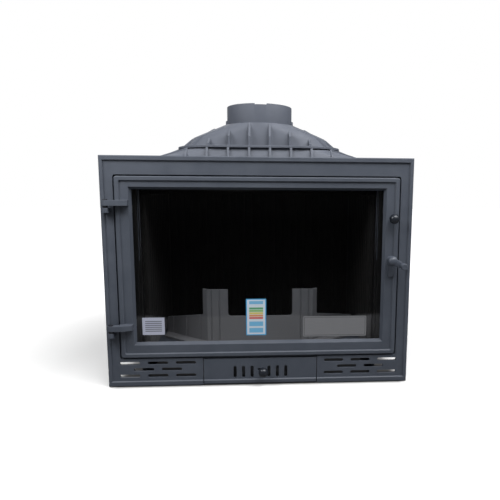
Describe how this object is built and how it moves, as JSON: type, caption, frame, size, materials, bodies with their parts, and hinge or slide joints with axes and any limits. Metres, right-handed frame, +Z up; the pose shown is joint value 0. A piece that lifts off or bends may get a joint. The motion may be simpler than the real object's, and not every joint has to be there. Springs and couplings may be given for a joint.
{
  "type": "fireplace insert",
  "caption": "Cast-iron fireplace insert with a glazed hinged door, turning latch, ash drawer with an air slide, ribbed smoke hood and round flue collar.",
  "frame": {"origin": "on the flue axis, at the level of the hearth that the insert stands on", "axes": "+X to the right seen from the front, +Y to the back, +Z up along the flue"},
  "size_m": [0.76, 0.4656, 0.7183],
  "materials": {
    "painted_iron": "matt blue-grey stove paint over fine cast grain",
    "hood_iron": "matt blue-grey stove paint, rougher casting",
    "sooty_iron": "dull grey bare casting",
    "dark_steel": "blackened turned steel",
    "zinc_steel": "zinc-plated steel",
    "sheet_steel": "satin black sheet",
    "knob_iron": "semi-gloss dark paint, worn bright at the top",
    "seal_rope": "woven glass-fibre rope",
    "door_glass": "clear ceramic glass, dark against the unlit firebox"
  },
  "bodies": {
    "stove_body": {"front_frame": "painted_iron", "hearth_casting": "painted_iron", "ash_box": "sheet_steel", "side_wall_right": "painted_iron", "side_wall_left": "painted_iron", "back_wall": "painted_iron", "smoke_hood": "hood_iron", "flue_collar": "hood_iron", "baffle_plate": "sooty_iron", "fire_back": "sooty_iron", "liner_right": "sooty_iron", "liner_left": "sooty_iron", "log_guard": "sooty_iron", "fire_grate": "sooty_iron", "hinge_pin_lower": "dark_steel", "hinge_pin_upper": "dark_steel", "hinge_washer_lower": "dark_steel", "hinge_washer_upper": "dark_steel", "frame_bolt_left_low": "zinc_steel", "frame_bolt_left_high": "zinc_steel", "frame_bolt_right_low": "zinc_steel", "frame_bolt_right_high": "zinc_steel", "hood_bolt_left_front": "zinc_steel", "hood_bolt_left_rear": "zinc_steel", "hood_bolt_right_front": "zinc_steel", "hood_bolt_right_rear": "zinc_steel", "base_bolt_left_front": "zinc_steel", "base_bolt_left_rear": "zinc_steel", "base_bolt_right_front": "zinc_steel", "base_bolt_right_rear": "zinc_steel", "collar_bolt_1": "zinc_steel", "collar_bolt_2": "zinc_steel", "collar_bolt_3": "zinc_steel", "collar_bolt_4": "zinc_steel"},
    "door": {"door_frame": "painted_iron", "door_glass": "door_glass", "door_rope_seal": "seal_rope", "door_pull_knob": "knob_iron", "glass_clip_left_low": "zinc_steel", "glass_clip_left_high": "zinc_steel", "glass_clip_right_low": "zinc_steel", "glass_clip_right_high": "zinc_steel", "clip_screw_left_low": "zinc_steel", "clip_screw_left_high": "zinc_steel", "clip_screw_right_low": "zinc_steel", "clip_screw_right_high": "zinc_steel"},
    "latch": {"latch_lever": "knob_iron", "latch_grip": "knob_iron", "latch_spindle": "zinc_steel", "latch_tongue": "zinc_steel", "latch_nut": "zinc_steel"},
    "drawer": {"drawer_front": "painted_iron", "ash_pan": "sheet_steel", "slide_guide_upper": "sheet_steel", "slide_guide_lower": "sheet_steel", "drawer_screw_left": "zinc_steel", "drawer_screw_right": "zinc_steel"},
    "air_control": {"air_slide": "sheet_steel", "air_knob": "knob_iron"}
  },
  "joints": [
    {"name": "door_hinge", "type": "hinge", "parent": "stove_body", "child": "door", "pos_m": [-0.3645, -0.222, 0.302], "axis": [0, 0, -1], "range_deg": [0, 110]},
    {"name": "latch_turn", "type": "hinge", "parent": "door", "child": "latch", "pos_m": [0.3294, -0.21, 0.321], "axis": [0, 1, 0], "range_deg": [0, 65]},
    {"name": "drawer_slide", "type": "slide", "parent": "stove_body", "child": "drawer", "axis": [0, -1, 0], "range_m": [0, 0.26]},
    {"name": "air_slide_travel", "type": "slide", "parent": "drawer", "child": "air_control", "axis": [-1, 0, 0], "range_m": [0, 0.0108]}
  ]
}
